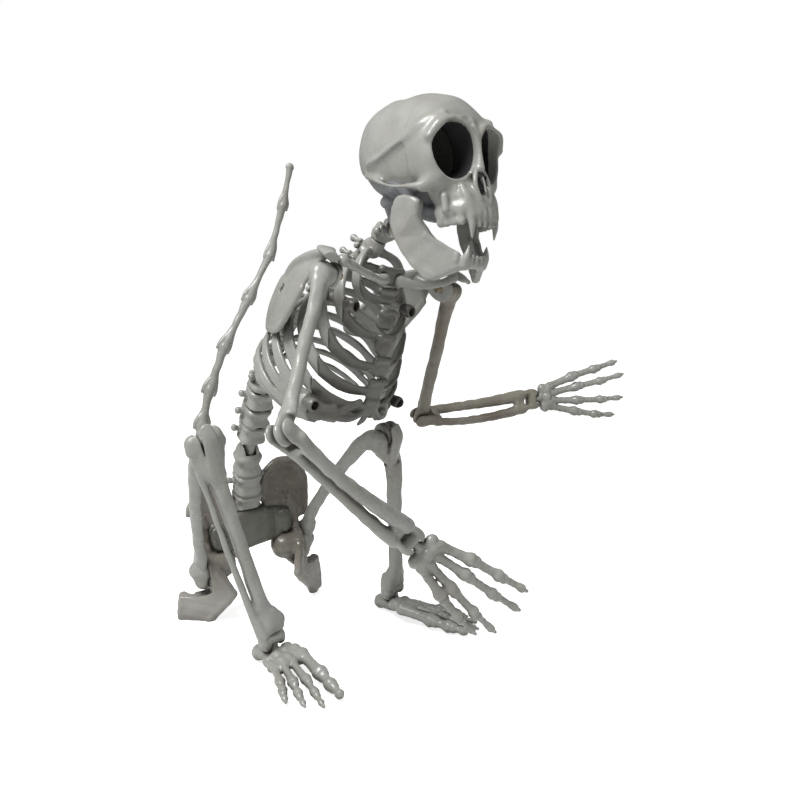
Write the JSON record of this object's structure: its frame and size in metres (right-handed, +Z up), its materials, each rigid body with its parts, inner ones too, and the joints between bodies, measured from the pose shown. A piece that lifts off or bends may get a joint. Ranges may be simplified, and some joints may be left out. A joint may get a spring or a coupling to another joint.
{
  "type": "poseable skeleton decoration",
  "caption": "Free-standing poseable plastic monkey skeleton decoration, seated, with a hinged jaw, turning head, jointed arms and legs, and a curled tail.",
  "frame": {"origin": "middle of the figure's bounding box, on the floor it sits on", "axes": "+Z up from the floor it sits on, -Y the way the pelvis and legs face, +X the figure's left side"},
  "size_m": [0.4835, 0.3408, 0.435],
  "materials": {
    "bone_plastic": "satin",
    "screw_steel": "satin"
  },
  "bodies": {
    "pelvis": {"sacrum_block": "bone_plastic", "left_hip_bone": "bone_plastic", "right_hip_bone": "bone_plastic", "pelvis_screws": "screw_steel", "hip_pins": "screw_steel", "lumbar_lower": "bone_plastic", "waist_pin": "screw_steel", "tail_pin": "screw_steel"},
    "torso": {"lumbar_upper": "bone_plastic", "ribcage_back": "bone_plastic", "ribcage_front": "bone_plastic", "ribcage_screws": "screw_steel", "right_scapula": "bone_plastic", "left_scapula": "bone_plastic", "right_clavicle": "bone_plastic", "left_clavicle": "bone_plastic", "shoulder_pins": "screw_steel"},
    "neck": {"neck_block": "bone_plastic"},
    "head": {"skull_base": "bone_plastic", "cranium": "bone_plastic", "neck_screw": "screw_steel", "jaw_pins": "screw_steel"},
    "jaw": {"jaw": "bone_plastic"},
    "right_upper_arm": {"right_humerus": "bone_plastic"},
    "left_upper_arm": {"left_humerus": "bone_plastic"},
    "right_forearm": {"right_forearm": "bone_plastic", "right_elbow_pin": "screw_steel", "right_wrist_pin": "screw_steel"},
    "left_forearm": {"left_forearm": "bone_plastic", "left_elbow_pin": "screw_steel", "left_wrist_pin": "screw_steel"},
    "right_hand": {"right_hand": "bone_plastic"},
    "left_hand": {"left_hand": "bone_plastic"},
    "right_thigh": {"right_femur": "bone_plastic"},
    "left_thigh": {"left_femur": "bone_plastic"},
    "right_shin": {"right_shin": "bone_plastic", "right_knee_pin": "screw_steel", "right_ankle_pin": "screw_steel"},
    "left_shin": {"left_shin": "bone_plastic", "left_knee_pin": "screw_steel", "left_ankle_pin": "screw_steel"},
    "right_foot": {"right_foot": "bone_plastic"},
    "left_foot": {"left_foot": "bone_plastic"},
    "tail": {"tail": "bone_plastic"}
  },
  "joints": [
    {"name": "waist_bend", "type": "hinge", "parent": "pelvis", "child": "torso", "pos_m": [-0.141, 0.094, 0.151], "axis": [1, 0, 0], "range_deg": [-15, 0]},
    {"name": "head_turn", "type": "hinge", "parent": "torso", "child": "neck", "pos_m": [-0.09461, -0.03567, 0.31526], "axis": [0.2634, -0.4369, 0.8601], "range_deg": [-20, 20]},
    {"name": "head_nod", "type": "hinge", "parent": "neck", "child": "head", "pos_m": [-0.08132, -0.06355, 0.34067], "axis": [-0.9734, -0.2171, 0.073], "range_deg": [-5, 12]},
    {"name": "jaw_open", "type": "hinge", "parent": "head", "child": "jaw", "pos_m": [-0.07339, -0.09446, 0.35451], "axis": [-0.9734, -0.2171, 0.073], "range_deg": [-8, 4]},
    {"name": "right_shoulder_swing", "type": "hinge", "parent": "torso", "child": "right_upper_arm", "pos_m": [-0.15977, -0.08589, 0.3097], "axis": [-0.9359, -0.332, 0.118], "range_deg": [-15, 20]},
    {"name": "left_shoulder_swing", "type": "hinge", "parent": "torso", "child": "left_upper_arm", "pos_m": [-0.01564, -0.03477, 0.29153], "axis": [-0.9359, -0.332, 0.118], "range_deg": [-15, 20]},
    {"name": "right_elbow_bend", "type": "hinge", "parent": "right_upper_arm", "child": "right_forearm", "pos_m": [-0.229, -0.161, 0.219], "axis": [0.4415, -0.8271, 0.348], "range_deg": [-15, 15]},
    {"name": "left_elbow_bend", "type": "hinge", "parent": "left_upper_arm", "child": "left_forearm", "pos_m": [0.008, 0.042, 0.174], "axis": [-0.0245, 0.8392, 0.5432], "range_deg": [-15, 15]},
    {"name": "right_wrist_bend", "type": "hinge", "parent": "right_forearm", "child": "right_hand", "pos_m": [-0.127, -0.144, 0.13], "axis": [0.6641, -0.1362, 0.7351], "range_deg": [-15, 15]},
    {"name": "left_wrist_bend", "type": "hinge", "parent": "left_forearm", "child": "left_hand", "pos_m": [0.143, 0.044, 0.177], "axis": [-0.0251, 0.2343, 0.9718], "range_deg": [-15, 15]},
    {"name": "right_hip_swing", "type": "hinge", "parent": "pelvis", "child": "right_thigh", "pos_m": [-0.17407, 0.108, 0.04736], "axis": [0.9945, 0, 0.1045], "range_deg": [-3, 20]},
    {"name": "left_hip_swing", "type": "hinge", "parent": "pelvis", "child": "left_thigh", "pos_m": [-0.09053, 0.108, 0.05614], "axis": [0.9945, 0, 0.1045], "range_deg": [0, 20]},
    {"name": "right_knee_bend", "type": "hinge", "parent": "right_thigh", "child": "right_shin", "pos_m": [-0.22, -0.008, 0.188], "axis": [-0.9588, -0.0608, -0.2775], "range_deg": [0, 25]},
    {"name": "left_knee_bend", "type": "hinge", "parent": "left_thigh", "child": "left_shin", "pos_m": [-0.071, -0.021, 0.177], "axis": [0.8919, 0.3241, 0.3153], "range_deg": [-25, 0]},
    {"name": "right_ankle_bend", "type": "hinge", "parent": "right_shin", "child": "right_foot", "pos_m": [-0.172, -0.012, 0.023], "axis": [-0.9488, -0.1602, -0.2721], "range_deg": [-10, 10]},
    {"name": "left_ankle_bend", "type": "hinge", "parent": "left_shin", "child": "left_foot", "pos_m": [-0.034, 0.027, 0.023], "axis": [0.9278, 0.2292, 0.2944], "range_deg": [-10, 10]},
    {"name": "tail_lift", "type": "hinge", "parent": "pelvis", "child": "tail", "pos_m": [-0.13837, 0.135, 0.05212], "axis": [0.9945, 0, 0.1045], "range_deg": [-25, 8]}
  ]
}
